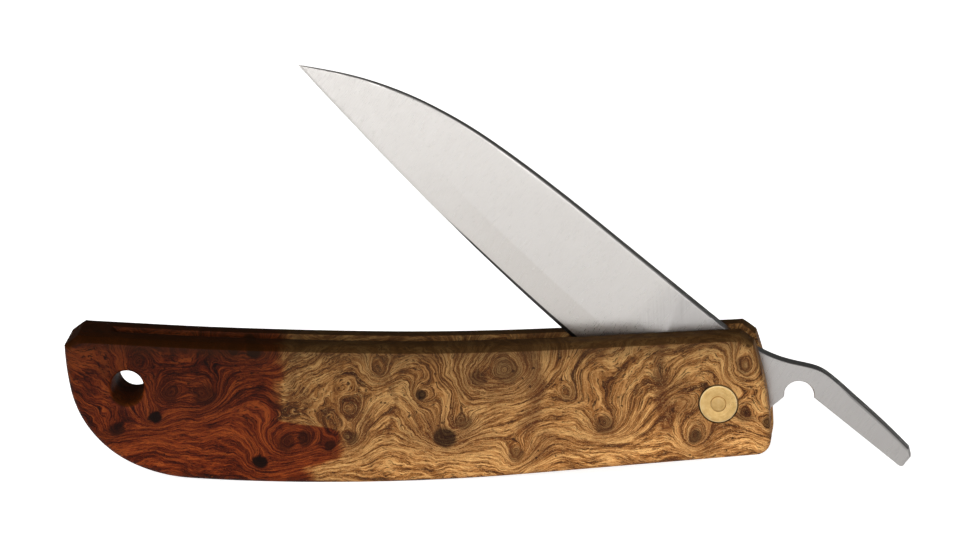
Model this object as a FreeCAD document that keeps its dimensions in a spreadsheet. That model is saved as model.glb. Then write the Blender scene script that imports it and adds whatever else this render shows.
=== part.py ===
# Friction-folding whittling knife: one-piece slotted wooden handle, blade with an
# integral lever tang, and a peened pivot pin with two flush collars and two washers.
# Millimetres.  +X runs from the butt to the pivot end, +Y from the front side face to
# the back one, +Z up.  The origin is the centre of the lanyard hole on the mid-plane.
import FreeCAD, Part
import Sketcher
import os

Vector = FreeCAD.Vector
doc = FreeCAD.newDocument("whittling_knife")

# ---------------------------------------------------------------- driving dimensions
# alias, value, note
DIMENSIONS = [
    ("pivot_x", 92.0, "pivot axis, from the lanyard hole along the handle"),
    ("pivot_z", -2.75, "pivot axis, height from the lanyard hole"),
    ("handle_thick", 12.6, "handle thickness"),
    ("slot_width", 3.3, "blade slot in the handle"),
    ("lanyard_dia", 5.2, "lanyard hole"),
    ("lanyard_round", 0.7, "rounding of the lanyard hole rims"),
    ("blade_thick", 2.6, "tang and ricasso thickness"),
    ("blade_bore", 2.5, "hole in the blade for the pivot pin"),
    ("pin_dia", 2.38, "3/32 inch pin stock"),
    ("pin_hole", 2.42, "hole in the wood for the pin"),
    ("collar_dia", 5.95, "pivot collar outside"),
    ("collar_thick", 1.5, "pivot collar length"),
    ("collar_seat", 6.2, "counterbore in the wood for a collar"),
    ("collar_break", 0.12, "bevel on the outer rim of a collar"),
    ("washer_dia", 9.0, "pivot washer outside"),
    ("washer_bore", 2.5, "pivot washer inside"),
    ("washer_thick", 0.3, "pivot washer"),
    ("top_bevel_side", 1.5, "bevel along the top edges, across the top"),
    ("top_bevel_drop", 0.75, "bevel along the top edges, down the side face"),
    ("edge_break", 1.0, "bevel around the butt, belly and nose"),
    ("notch_radius", 2.35, "finger notch under the lever"),
    ("grind_tilt", 3.92, "half angle of the flat grind, degrees"),
    ("grind_slope", 5.5, "direction of the grind against the spine, degrees"),
    ("wheel_radius", 32.0, "radius that ends the grind at the plunge line"),
    ("tail_break", 0.2, "broken edge along the top of the lever"),
    ("open_angle", 40.48, "blade angle in the rest position, degrees from closed"),
]
table = doc.addObject("Spreadsheet::Sheet", "params")
for row, (name, value, note) in enumerate(DIMENSIONS, 1):
    table.set("A%d" % row, name)
    table.set("B%d" % row, "%g" % value)
    table.set("C%d" % row, note)
    table.setAlias("B%d" % row, name)
doc.recompute()
size = {name: value for name, value, note in DIMENSIONS}

THROUGH = 40.0        # cut length that passes right through the handle or the blade
LEAST_CUT = 1e-3      # a cut that removes less volume than this has missed
TWO_DISTANCES = 1     # chamfer type with a separate size on each face


# ---------------------------------------------------------------- sketches
def origin_plane(body, role):
    return next(plane for plane in body.Origin.OriginFeatures if plane.Role == role)


def new_sketch(body, name, plane="XZ_Plane", offset=None):
    """Sketch on an origin plane; offset is an expression along the plane's normal.

    The normal of the XZ plane is -Y, so an offset of +n sits at y = -n.
    """
    sketch = body.newObject("Sketcher::SketchObject", name)
    sketch.AttachmentSupport = [(origin_plane(body, plane), "")]
    sketch.MapMode = "FlatFace"
    if offset:
        sketch.setExpression("AttachmentOffset.Base.z", offset)
    return sketch


def vectors(points):
    return [Vector(x, y, 0) for x, y in points]


def add_lines(sketch, points):
    ends = vectors(points)
    for start, end in zip(ends[:-1], ends[1:]):
        sketch.addGeometry(Part.LineSegment(start, end), False)


def add_arcs(sketch, points):
    """Chain of arcs through start, middle, end, middle, end and so on."""
    ends = vectors(points)
    for i in range(0, len(ends) - 2, 2):
        sketch.addGeometry(Part.Arc(*ends[i:i + 3]), False)


def add_spline(sketch, points, tangents=None):
    curve = Part.BSplineCurve()
    if tangents:
        first, last = vectors(tangents)
        curve.interpolate(Points=vectors(points), InitialTangent=first, FinalTangent=last)
    else:
        curve.interpolate(vectors(points))
    sketch.addGeometry(curve, False)


def add_circle(sketch, diameter, at_pivot=True):
    """Circle of a named diameter, on the handle's pivot axis or on the sketch origin."""
    x, y = (size["pivot_x"], size["pivot_z"]) if at_pivot else (0.0, 0.0)
    circle = sketch.addGeometry(
        Part.Circle(Vector(x, y, 0), Vector(0, 0, 1), size[diameter] / 2.0), False)
    width = sketch.addConstraint(Sketcher.Constraint("Diameter", circle, size[diameter]))
    sketch.setExpression("Constraints[%d]" % width, "params." + diameter)
    across = sketch.addConstraint(Sketcher.Constraint("DistanceX", -1, 1, circle, 3, x))
    up = sketch.addConstraint(Sketcher.Constraint("DistanceY", -1, 1, circle, 3, y))
    if at_pivot:
        sketch.setExpression("Constraints[%d]" % across, "params.pivot_x")
        sketch.setExpression("Constraints[%d]" % up, "params.pivot_z")


def from_pivot(points):
    return [(x + size["pivot_x"], z + size["pivot_z"]) for x, z in points]


# ---------------------------------------------------------------- features
def assign(item, name, value):
    """Set a property; a string is an expression on the driving dimensions."""
    if isinstance(value, str):
        item.setExpression(name, value)
    else:
        setattr(item, name, value)


def require_cut(item, before):
    if not before - item.Shape.Volume > LEAST_CUT:
        raise RuntimeError("%s removed nothing" % item.Name)


def pad(body, name, sketch, length, midplane=True):
    block = body.newObject("PartDesign::Pad", name)
    block.Profile = sketch
    block.Midplane = midplane
    assign(block, "Length", length)
    doc.recompute()


def pocket(body, name, sketch, length, midplane=True, flipped=False):
    before = body.Tip.Shape.Volume
    cut = body.newObject("PartDesign::Pocket", name)
    cut.Profile = sketch
    cut.Midplane = midplane
    cut.Reversed = flipped
    assign(cut, "Length", length)
    doc.recompute()
    require_cut(cut, before)
    return cut


def dress(body, kind, name, chosen, **settings):
    """Chamfer or Fillet on the edges of the body's tip that pass the chosen test."""
    base = body.Tip
    before = base.Shape.Volume
    edges = ["Edge%d" % i for i, edge in enumerate(base.Shape.Edges, 1) if chosen(edge)]
    dressing = body.newObject("PartDesign::" + kind, name)
    dressing.Base = (base, edges)
    for setting, value in settings.items():
        assign(dressing, setting, value)
    doc.recompute()
    require_cut(dressing, before)


# ---------------------------------------------------------------- handle
# outline, (x, z) from the pivot
HANDLE_TOP = [
    (3.4, 10.85), (-8.0, 10.32), (-18.8, 9.77), (-29.8, 9.29), (-39.2, 9.03),
    (-47.5, 8.95), (-58.0, 9.07), (-70.6, 9.41), (-83.2, 9.92), (-92.0, 10.42),
    (-99.6, 10.85)]
# arcs: start, then middle and end of each
BUTT_AND_BELLY = [
    (-101.7, 9.3),
    (-101.481, 5.733), (-100.95, 2.2),
    (-99.815, -1.375), (-97.9, -4.6),
    (-95.055, -7.548), (-91.6, -9.75),
    (-87.263, -11.353), (-82.7, -12.1),
    (-72.356, -12.619), (-62.0, -12.8),
    (-45.735, -12.467), (-29.5, -11.43)]
CORNER_AND_NOSE = [
    (5.775, -8.409),
    (7.338, -7.641), (7.97, -6.018),
    (7.345, 1.715), (5.5, 9.25)]
# slot, (x, z) from the pivot: end near the butt, floor over the web, then the lines
# around the openings under the pivot, at the pivot end and along the top
SLOT_RUN_OUT = [
    (-96.6, 12.2), (-93.2, 8.9), (-90.2, 6.2), (-88.0, 3.0), (-86.9, -0.6), (-85.6, -2.9)]
SLOT_FLOOR = [
    (-85.6, -2.9), (-75.0, -4.2), (-60.0, -6.05), (-45.0, -7.5), (-32.0, -8.35),
    (-20.5, -8.9)]
SLOT_OPENINGS = [
    (-20.5, -8.9), (-18.4, -8.2), (-7.8, -8.2), (-7.8, -13.5), (12.0, -13.5),
    (12.0, 14.5), (-96.6, 14.5), (-96.6, 12.2)]
TOP_EDGE_LEAST = 60.0    # only the two long top edges are longer than this
SIDE_EDGE_LEAST = 0.5    # shorter edges are left alone
SIDE_ZONE = 5.5          # an edge wholly farther out than this lies by a side face


def near_side(edge):
    """True for an edge that stays beside one of the two side faces."""
    if edge.Length <= SIDE_EDGE_LEAST:
        return False
    first, last = edge.FirstParameter, edge.LastParameter
    ys = [edge.valueAt(first + (last - first) * k / 6.0).y for k in range(7)]
    return min(abs(y) for y in ys) > SIDE_ZONE and max(ys) * min(ys) > 0


def is_top_edge(edge):
    return near_side(edge) and edge.Length > TOP_EDGE_LEAST


def is_side_rim(edge):
    if not near_side(edge) or edge.Length >= TOP_EDGE_LEAST:
        return False
    middle = edge.valueAt((edge.FirstParameter + edge.LastParameter) / 2.0)
    return abs(abs(middle.y) - size["handle_thick"] / 2.0) < 0.01


def is_lanyard_rim(edge):
    box = edge.BoundBox
    return (edge.Length > 10 and box.XLength < size["lanyard_dia"] + 0.1
            and abs(box.Center.x) < 0.05 and abs(box.Center.z) < 0.05)


def make_handle():
    handle = doc.addObject("PartDesign::Body", "handle")
    sketch = new_sketch(handle, "handle_outline")
    top, butt, nose = [from_pivot(p) for p in (HANDLE_TOP, BUTT_AND_BELLY, CORNER_AND_NOSE)]
    add_spline(sketch, top)
    add_lines(sketch, [top[-1], butt[0]])
    add_arcs(sketch, butt)
    add_lines(sketch, [butt[-1], nose[0]])
    add_arcs(sketch, nose)
    add_lines(sketch, [nose[-1], top[0]])
    pad(handle, "handle_block", sketch, "params.handle_thick")

    dress(handle, "Chamfer", "top_bevel", is_top_edge, ChamferType=TWO_DISTANCES,
          Size="params.top_bevel_drop", Size2="params.top_bevel_side", FlipDirection=True)
    dress(handle, "Chamfer", "edge_break", is_side_rim, Size="params.edge_break")

    # blade slot, its outline joined end to end
    sketch = new_sketch(handle, "slot_outline")
    add_spline(sketch, from_pivot(SLOT_RUN_OUT))
    add_spline(sketch, from_pivot(SLOT_FLOOR))
    add_lines(sketch, from_pivot(SLOT_OPENINGS))
    pieces = sketch.GeometryCount
    for i in range(pieces):
        sketch.addConstraint(Sketcher.Constraint("Coincident", i, 2, (i + 1) % pieces, 1))
    pocket(handle, "blade_slot", sketch, "params.slot_width")

    sketch = new_sketch(handle, "pivot_bore_outline")
    add_circle(sketch, "pin_hole")
    pocket(handle, "pivot_bore", sketch, THROUGH)

    # a pocket runs against the sketch normal, toward +Y, so the back one is flipped
    for side, offset, flipped in (("back", "-params.handle_thick / 2", True),
                                  ("front", "params.handle_thick / 2", False)):
        sketch = new_sketch(handle, "seat_%s_outline" % side, offset=offset)
        add_circle(sketch, "collar_seat")
        pocket(handle, "seat_" + side, sketch, "params.collar_thick",
               midplane=False, flipped=flipped)

    sketch = new_sketch(handle, "lanyard_outline")
    add_circle(sketch, "lanyard_dia", at_pivot=False)
    pocket(handle, "lanyard_hole", sketch, THROUGH)
    dress(handle, "Fillet", "lanyard_rim", is_lanyard_rim, Radius="params.lanyard_round")
    return handle


# ---------------------------------------------------------------- blade
# outline of the closed blade, (x, z) from the pivot
SPINE = [(-9.0, 8.78), (-33.0, 8.78)]
TIP_CURVE = [
    (-33.0, 8.78), (-39.3, 8.71), (-45.2, 8.54), (-51.0, 8.22), (-56.5, 7.69),
    (-61.7, 6.82), (-66.8, 5.6), (-71.5, 4.04), (-75.9, 2.16), (-80.1, -0.06),
    (-83.2, -1.85)]
CUTTING_EDGE = [
    (-83.2, -1.85), (-79.4, -2.42), (-72.5, -3.37), (-65.8, -4.25), (-59.2, -5.05),
    (-52.6, -5.78), (-46.1, -6.4), (-39.6, -6.94), (-33.3, -7.39), (-27.0, -7.73),
    (-17.5, -8.1)]
# round lobe of the tang about the pivot
LOBE_RADIUS = 8.1
LOBE = [(0.0, -LOBE_RADIUS), (LOBE_RADIUS * 0.8480, -LOBE_RADIUS * 0.5299), (7.2, 3.7108)]
# finger notch: centre, and directions from it to the start, middle and end of the arc
NOTCH_CENTRE = (9.33, 7.92)
NOTCH_DIRECTIONS = [(-0.7131, -0.7011), (-0.6400, 0.7684), (0.8376, 0.5463)]
# free end of the lever: arc under it, then its two straight sides
TAIL_ARC = [(28.2, 9.34), (28.64, 9.50), (28.83, 9.95)]
TAIL_END = [(28.83, 9.95), (28.83, 11.55), (27.75, 12.38)]
LEVER_TOP = [(27.75, 12.38), (24.9, 12.69), (19.7, 13.08), (14.5, 13.3)]
ELBOW = [
    (14.5, 13.3), (11.2, 13.34), (9.2, 13.12), (7.9, 12.62), (5.45, 11.36),
    (3.7, 10.55), (1.8, 9.9), (-1.5, 9.18), (-5.0, 8.85), (-9.0, 8.78)]

# flat grind: a point on the ground plane, and the section of the cut in that plane's
# frame, with x along the blade and y outward
GRIND_POINT = Vector(-20.0, 0.128, -7.95)
GRIND_FAR = -75.0         # end of the section, on the tip side
GRIND_OUTER = 6.0         # outer limit of the section, clear of the blank
PLUNGE_START = 1.2        # where the flat turns into the wheel arc
PLUNGE_RUN = 12.0         # length of the wheel arc along x
GRIND_REACH = 60.0        # cut length across the blade

# the broken lever edges lie beyond these limits
TAIL_BREAK_X, TAIL_BREAK_Z = 14.3, 12.2


def is_lever_top_edge(edge):
    box = edge.BoundBox
    return (box.YLength < 1e-4 and abs(abs(box.YMin) - size["blade_thick"] / 2.0) < 1e-4
            and box.XMin > TAIL_BREAK_X and box.ZMin > TAIL_BREAK_Z)


def draw_blade(sketch):
    notch = [(NOTCH_CENTRE[0] + x * size["notch_radius"],
              NOTCH_CENTRE[1] + z * size["notch_radius"]) for x, z in NOTCH_DIRECTIONS]
    add_lines(sketch, SPINE)
    add_spline(sketch, TIP_CURVE, tangents=[(-1, 0), (-3.1, -1.85)])
    add_spline(sketch, CUTTING_EDGE, tangents=[(3.8, -0.50), (9.5, -0.28)])
    add_lines(sketch, [CUTTING_EDGE[-1], LOBE[0]])
    add_arcs(sketch, LOBE)
    add_lines(sketch, [LOBE[-1], notch[0]])
    add_arcs(sketch, notch)
    add_lines(sketch, [notch[-1], TAIL_ARC[0]])
    add_arcs(sketch, TAIL_ARC)
    add_lines(sketch, TAIL_END)
    add_spline(sketch, LEVER_TOP)
    add_spline(sketch, ELBOW, tangents=[(-1, 0.012), (-1, 0)])


def draw_grind(sketch):
    """A flat that ends in an arc of the wheel at the plunge line."""
    def on_wheel(run):
        radius = size["wheel_radius"]
        return (PLUNGE_START + run, radius - (radius * radius - run * run) ** 0.5)

    turn = FreeCAD.Rotation(Vector(0, 1, 0), size["grind_slope"]).multiply(
        FreeCAD.Rotation(Vector(1, 0, 0), -size["grind_tilt"]))
    sketch.AttachmentOffset = FreeCAD.Placement(GRIND_POINT, turn)
    plunge = [on_wheel(run) for run in (0.0, PLUNGE_RUN / 2.0, PLUNGE_RUN)]
    add_lines(sketch, [(GRIND_FAR, 0.0), plunge[0]])
    add_arcs(sketch, plunge)
    add_lines(sketch, [plunge[-1], (plunge[-1][0], GRIND_OUTER), (GRIND_FAR, GRIND_OUTER),
                       (GRIND_FAR, 0.0)])


def make_blade():
    """Built closed, about its pivot; the body is then turned to the rest angle."""
    blade = doc.addObject("PartDesign::Body", "blade")
    sketch = new_sketch(blade, "blade_outline")
    draw_blade(sketch)
    pad(blade, "blade_blank", sketch, "params.blade_thick")

    sketch = new_sketch(blade, "blade_bore_outline")
    add_circle(sketch, "blade_bore", at_pivot=False)
    pocket(blade, "blade_bore", sketch, THROUGH)

    # the grind cuts the +Y face and is mirrored to the -Y face
    sketch = new_sketch(blade, "grind_outline", plane="XY_Plane")
    draw_grind(sketch)
    grind = pocket(blade, "flat_grind", sketch, GRIND_REACH)
    before = grind.Shape.Volume
    mirrored = blade.newObject("PartDesign::Mirrored", "flat_grind_back")
    mirrored.Originals = [grind]
    mirrored.MirrorPlane = (origin_plane(blade, "XZ_Plane"), [""])
    blade.Tip = mirrored
    doc.recompute()
    require_cut(mirrored, before)

    dress(blade, "Chamfer", "tail_break", is_lever_top_edge, Size="params.tail_break")
    blade.setExpression("Placement",
                        "placement(vector(params.pivot_x; 0; params.pivot_z); "
                        "rotation(vector(0; 1; 0); params.open_angle))")
    return blade


# ---------------------------------------------------------------- pivot hardware
# name, outer diameter, bore, offset of the +Y face along -Y, thickness
DISCS = [
    ("pivot_pin", "pin_dia", None, "-params.handle_thick / 2", "handle_thick"),
    ("pivot_collar_front", "collar_dia", "pin_dia",
     "params.handle_thick / 2 - params.collar_thick", "collar_thick"),
    ("pivot_collar_back", "collar_dia", "pin_dia", "-params.handle_thick / 2",
     "collar_thick"),
    ("washer_front", "washer_dia", "washer_bore",
     "params.slot_width / 2 - params.washer_thick", "washer_thick"),
    ("washer_back", "washer_dia", "washer_bore", "-params.slot_width / 2",
     "washer_thick"),
]


def make_disc(name, outer, bore, offset, thickness):
    body = doc.addObject("PartDesign::Body", name)
    sketch = new_sketch(body, name + "_outline", offset=offset)
    add_circle(sketch, outer)
    if bore:
        add_circle(sketch, bore)
    pad(body, name + "_disc", sketch, "params." + thickness, midplane=False)
    return body


def break_collar_rim(collar, name, face_y):
    """Bevel the outer rim of a collar where it meets the handle's side face."""
    def is_rim(edge):
        box = edge.BoundBox
        return (box.YLength < 1e-4 and abs(box.YMin - face_y) < 1e-3
                and abs(box.XLength - size["collar_dia"]) < 1e-2)

    dress(collar, "Chamfer", name, is_rim, Size="params.collar_break")


handle = make_handle()
blade = make_blade()
discs = {disc[0]: make_disc(*disc) for disc in DISCS}
side_face = size["handle_thick"] / 2.0
break_collar_rim(discs["pivot_collar_front"], "collar_front_rim", -side_face)
break_collar_rim(discs["pivot_collar_back"], "collar_back_rim", side_face)
doc.recompute()

# ---------------------------------------------------------------- validity and export
bodies = [handle, blade] + list(discs.values())
for item in doc.Objects:
    for bad in ("Invalid", "Error"):
        if bad in item.State:
            raise RuntimeError("%s is %s" % (item.Name, bad))
for body in bodies:
    shape = body.Shape
    if shape.isNull() or not shape.isValid() or len(shape.Solids) != 1:
        raise RuntimeError("bad shape in " + body.Label)
os.makedirs("parts", exist_ok=True)
for body in bodies:
    body.Shape.exportStep("parts/%s.step" % body.Label)
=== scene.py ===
"""Folding knife with a burl handle, brass pivot hardware and a half-open steel blade.

Lengths are in millimetres until a mesh, light or camera is made. The handle lies along x,
with z up and its thickness along y. The lanyard hole is at the origin, the pivot is near
the +x end, and the front face looks towards -y. The blade swings up over the handle.
"""
import math
import bpy
import bmesh
import numpy as np
from mathutils import Matrix, Vector
from mathutils.geometry import tessellate_polygon


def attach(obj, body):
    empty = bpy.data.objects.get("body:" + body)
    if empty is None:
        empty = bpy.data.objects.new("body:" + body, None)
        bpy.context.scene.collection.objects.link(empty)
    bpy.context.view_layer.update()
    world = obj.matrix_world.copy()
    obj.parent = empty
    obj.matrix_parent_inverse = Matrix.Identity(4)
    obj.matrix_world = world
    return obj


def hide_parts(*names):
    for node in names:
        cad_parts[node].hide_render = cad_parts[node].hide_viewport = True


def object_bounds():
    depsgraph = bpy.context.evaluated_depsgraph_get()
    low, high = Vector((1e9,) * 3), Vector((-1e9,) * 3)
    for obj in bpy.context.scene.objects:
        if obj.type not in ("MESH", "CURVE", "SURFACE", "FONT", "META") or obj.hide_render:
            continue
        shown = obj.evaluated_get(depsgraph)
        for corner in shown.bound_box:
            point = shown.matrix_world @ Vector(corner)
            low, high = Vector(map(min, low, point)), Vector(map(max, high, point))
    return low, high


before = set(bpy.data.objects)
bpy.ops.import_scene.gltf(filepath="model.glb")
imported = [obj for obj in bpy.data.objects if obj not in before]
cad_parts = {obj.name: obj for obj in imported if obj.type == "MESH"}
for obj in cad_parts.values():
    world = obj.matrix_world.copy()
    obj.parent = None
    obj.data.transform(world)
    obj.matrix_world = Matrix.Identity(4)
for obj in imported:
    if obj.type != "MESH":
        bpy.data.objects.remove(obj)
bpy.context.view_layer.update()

scene = bpy.context.scene

MM = 0.001                      # one millimetre in metres
PX, PZ = 92.0, -2.75            # pivot axis
HALF = 6.3                      # half thickness of the handle
SLOT_HALF = 1.65                # half width of the blade slot
BLADE_HALF = 1.3                # half thickness of the unground blade
REST = math.radians(40.48)      # how far the blade is turned out of the handle
TURN = 2 * math.pi


# ------------------------------------------------------------------ mesh helpers
def make_object(name, verts, faces):
    """Object from vertices in mm, with doubles merged and normals facing out."""
    mesh = bpy.data.meshes.new(name)
    mesh.from_pydata([tuple(float(c) * MM for c in v) for v in verts], [], faces)
    mesh.validate()
    mesh.update()
    work = bmesh.new()
    work.from_mesh(mesh)
    bmesh.ops.remove_doubles(work, verts=work.verts, dist=2e-6)
    bmesh.ops.recalc_face_normals(work, faces=work.faces)
    work.to_mesh(mesh)
    work.free()
    ob = bpy.data.objects.new(name, mesh)
    scene.collection.objects.link(ob)
    return ob


def shade_by_angle(ob, degrees):
    """Smooth shading, with edges steeper than the angle kept sharp."""
    for face in ob.data.polygons:
        face.use_smooth = True
    work = bmesh.new()
    work.from_mesh(ob.data)
    limit = math.radians(degrees)
    for edge in work.edges:
        edge.smooth = not (len(edge.link_faces) == 2 and edge.calc_face_angle(0.0) > limit)
    work.to_mesh(ob.data)
    work.free()


def register(ob, node, ride):
    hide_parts(node)
    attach(ob, ride)


def spline(points, count, start=None, end=None):
    """Cubic spline on chord-length knots; start and end are optional end directions."""
    points = np.array(points, float)
    knots = np.concatenate([[0], np.cumsum(np.hypot(*np.diff(points, axis=0).T))])
    gaps = np.diff(knots)
    slopes = np.diff(points, axis=0) / gaps[:, None]
    size = len(knots)
    matrix = np.zeros((size, size))
    target = np.zeros_like(points)
    target[1:-1] = 6 * np.diff(slopes, axis=0)
    for i in range(1, size - 1):
        matrix[i, i - 1:i + 2] = gaps[i - 1], 2 * (gaps[i - 1] + gaps[i]), gaps[i]
    if start is None:
        matrix[0, 0] = 1
    else:
        matrix[0, :2] = 2 * gaps[0], gaps[0]
        target[0] = 6 * (slopes[0] - np.array(start, float) / np.hypot(*start))
    if end is None:
        matrix[-1, -1] = 1
    else:
        matrix[-1, -2:] = gaps[-1], 2 * gaps[-1]
        target[-1] = 6 * (np.array(end, float) / np.hypot(*end) - slopes[-1])
    bend = np.linalg.solve(matrix, target)      # second derivative at each knot
    places = np.linspace(0, knots[-1], count)
    i = np.clip(np.searchsorted(knots, places) - 1, 0, size - 2)
    step = (places - knots[i])[:, None]
    gap = gaps[i][:, None]
    return (points[i] + step * (slopes[i] - gap * (2 * bend[i] + bend[i + 1]) / 6)
            + step ** 2 * bend[i] / 2 + step ** 3 * (bend[i + 1] - bend[i]) / (6 * gap))


def arc(start, middle, end, count):
    """Circular arc through three points."""
    start, middle, end = (np.array(p, float) for p in (start, middle, end))
    matrix = 2 * np.array([middle - start, end - start])
    target = np.array([middle @ middle - start @ start, end @ end - start @ start])
    centre = np.linalg.solve(matrix, target)
    radius = np.hypot(*(start - centre))
    first, via, last = (math.atan2(*(p - centre)[::-1]) for p in (start, middle, end))
    if (via - first) % TURN < (last - first) % TURN:
        sweep = (last - first) % TURN
    else:
        sweep = -((first - last) % TURN)
    angles = first + np.linspace(0, 1, count) * sweep
    return np.stack([centre[0] + radius * np.cos(angles), centre[1] + radius * np.sin(angles)], 1)


def line(start, end, count):
    start, end = np.array(start, float), np.array(end, float)
    return start + np.linspace(0, 1, count)[:, None] * (end - start)


def chain(parts):
    """Join curves end to end; a last point that meets the first is dropped."""
    points = np.concatenate([parts[0]] + [part[1:] for part in parts[1:]])
    return points[:-1] if np.hypot(*(points[0] - points[-1])) < 1e-6 else points


def inset(outline, distance):
    """Move each vertex of a counter-clockwise outline inwards, mitred at corners."""
    edges = np.roll(outline, -1, 0) - outline
    unit = edges / np.hypot(*edges.T)[:, None]
    normal = np.stack([-unit[:, 1], unit[:, 0]], 1)
    mitre = normal + np.roll(normal, 1, 0)
    mitre /= np.maximum((mitre * normal).sum(1), 0.35)[:, None]
    moved = outline + mitre * distance[:, None]
    # edges that turned round at a sharp corner are closed up, so no ring crosses itself
    for _ in range(40):
        flipped = np.nonzero(((np.roll(moved, -1, 0) - moved) * edges).sum(1) < -1e-9)[0]
        if len(flipped) == 0:
            break
        for here in flipped:
            after = (here + 1) % len(moved)
            moved[here] = moved[after] = (moved[here] + moved[after]) / 2
    return moved


def prism(name, outline, y_from, y_to):
    """Closed prism over an outline in the side view."""
    n = len(outline)
    verts = [(x, y, z) for y in (y_from, y_to) for x, z in outline]
    faces = [list(range(n)), list(range(2 * n - 1, n - 1, -1))]
    faces += [[(i + 1) % n, i, n + i, n + (i + 1) % n] for i in range(n)]
    return make_object(name, verts, faces)


def lathe(name, profile, count=96, centre=(PX, PZ)):
    """Solid of revolution about a y axis; profile rows are (radius, y).

    A profile that starts and ends off the axis is closed into a ring.
    """
    verts, faces, rings = [], [], []
    for radius, y in profile:
        first = len(verts)
        if radius < 1e-6:
            verts.append((centre[0], y, centre[1]))
        else:
            verts += [(centre[0] + radius * math.cos(TURN * k / count), y,
                       centre[1] + radius * math.sin(TURN * k / count)) for k in range(count)]
        rings.append(list(range(first, len(verts))))
    pairs = list(zip(rings[:-1], rings[1:]))
    if len(rings[0]) > 1 and len(rings[-1]) > 1:
        pairs.append((rings[-1], rings[0]))
    for low, high in pairs:
        for k in range(count):
            after = (k + 1) % count
            if len(low) == 1:
                faces.append([low[0], high[after], high[k]])
            elif len(high) == 1:
                faces.append([low[k], low[after], high[0]])
            else:
                faces.append([low[k], low[after], high[after], high[k]])
    return make_object(name, verts, faces)


def cut(ob, tool):
    """Subtract the tool from the object and remove the tool."""
    modifier = ob.modifiers.new("cut", "BOOLEAN")
    modifier.operation = "DIFFERENCE"
    modifier.solver = "EXACT"
    modifier.object = tool
    depsgraph = bpy.context.evaluated_depsgraph_get()
    mesh = bpy.data.meshes.new_from_object(ob.evaluated_get(depsgraph))
    ob.modifiers.clear()
    old = ob.data
    ob.data = mesh
    bpy.data.meshes.remove(old)
    bpy.data.objects.remove(tool)


# ------------------------------------------------------------------ handle
def from_pivot(points):
    """Points measured from the pivot, moved to the handle's frame."""
    return np.array(points, float) + (PX, PZ)


# all handle points are (x, z) from the pivot
TOP_LINE = spline(from_pivot([
    (3.4, 10.85), (-8.0, 10.32), (-18.8, 9.77), (-29.8, 9.29), (-39.2, 9.03), (-47.5, 8.95),
    (-58.0, 9.07), (-70.6, 9.41), (-83.2, 9.92), (-92.0, 10.42), (-99.6, 10.85)]), 120)
# round the lanyard end and along the underside: arc middle, arc end, point count
UNDERSIDE_START = (-101.7, 9.3)
UNDERSIDE_ARCS = [
    ((-101.481, 5.733), (-100.95, 2.2), 20),
    ((-99.815, -1.375), (-97.9, -4.6), 20),
    ((-95.055, -7.548), (-91.6, -9.75), 20),
    ((-87.263, -11.353), (-82.7, -12.1), 20),
    ((-72.356, -12.619), (-62.0, -12.8), 36),
    ((-45.735, -12.467), (-29.5, -11.43), 46)]
# start, middle and end of the two arcs at the pivot end
CORNER = from_pivot([(5.775, -8.409), (7.338, -7.641), (7.97, -6.018)])
NOSE = from_pivot([(7.97, -6.018), (7.345, 1.715), (5.5, 9.25)])
# slot outline: lanyard end, floor, then over the pivot end and back above the handle
SLOT_END = [(-96.6, 12.2), (-93.2, 8.9), (-90.2, 6.2), (-88.0, 3.0), (-86.9, -0.6), (-85.6, -2.9)]
SLOT_FLOOR = [(-85.6, -2.9), (-75.0, -4.2), (-60.0, -6.05), (-45.0, -7.5), (-32.0, -8.35),
              (-20.5, -8.9)]
SLOT_OPEN = [(-20.5, -8.9), (-18.4, -8.2), (-7.8, -8.2), (-7.8, -13.5), (12.0, -13.5),
             (12.0, 14.5), (-96.6, 14.5)]

ROUNDING = 1.45                         # radius of the side edges
BEVEL_IN, BEVEL_DOWN = 0.78, 1.5        # flat bevel along the top edges
SOFTENING, SOFT_REACH = 0.055, 0.10     # easing at both ends of the bevel
EDGE_STEPS = [0.0, 0.06, 0.14, 0.25, 0.38, 0.5, 0.62, 0.74, 0.86, 0.95, 1.0]
HOLE_RADIUS, HOLE_FLARE = 2.6, 0.75     # lanyard hole
SEAT_RADIUS, SEAT_DEPTH = 3.1, 1.5      # recesses for the pivot collars
PIN_BORE = 1.21
OUTSIDE = 8                             # y beyond both faces, where drills start and stop


def handle_outline():
    start = from_pivot(UNDERSIDE_START)
    parts = [TOP_LINE, line(TOP_LINE[-1], start, 8)]
    for middle, end, count in UNDERSIDE_ARCS:
        end = from_pivot(end)
        parts.append(arc(start, from_pivot(middle), end, count))
        start = end
    return chain(parts + [line(start, CORNER[0], 46), arc(*CORNER, 12), arc(*NOSE, 28),
                          line(NOSE[-1], TOP_LINE[0], 8)])


def bevel_weight(outline):
    """1 along the top, where the edge is bevelled, 0 elsewhere, blended between."""
    x, z = outline[:, 0] - PX, outline[:, 1] - PZ
    weight = ((z > 8.7) & (x > -99.7) & (x < 3.5)).astype(float)
    for _ in range(3):
        weight = (np.roll(weight, 1) + weight + np.roll(weight, -1)) / 3.0
    return weight


def edge_ring(outline, weight, side, step):
    """One ring of the edge section, from the side face (step 0) to the outline (step 1)."""
    angle = step * math.pi / 2
    inwards = (ROUNDING * (1 - math.sin(angle)) * (1 - weight)
               + BEVEL_IN * (1 - step) * weight)
    down = ROUNDING * (1 - math.cos(angle)) * (1 - weight) + BEVEL_DOWN * step * weight
    soft = SOFTENING * weight * (np.exp(-(step / SOFT_REACH) ** 2)
                                 + np.exp(-((1 - step) / SOFT_REACH) ** 2))
    ring = inset(outline, inwards + soft)
    return np.stack([ring[:, 0], side * (HALF - down), ring[:, 1]], 1)


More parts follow.
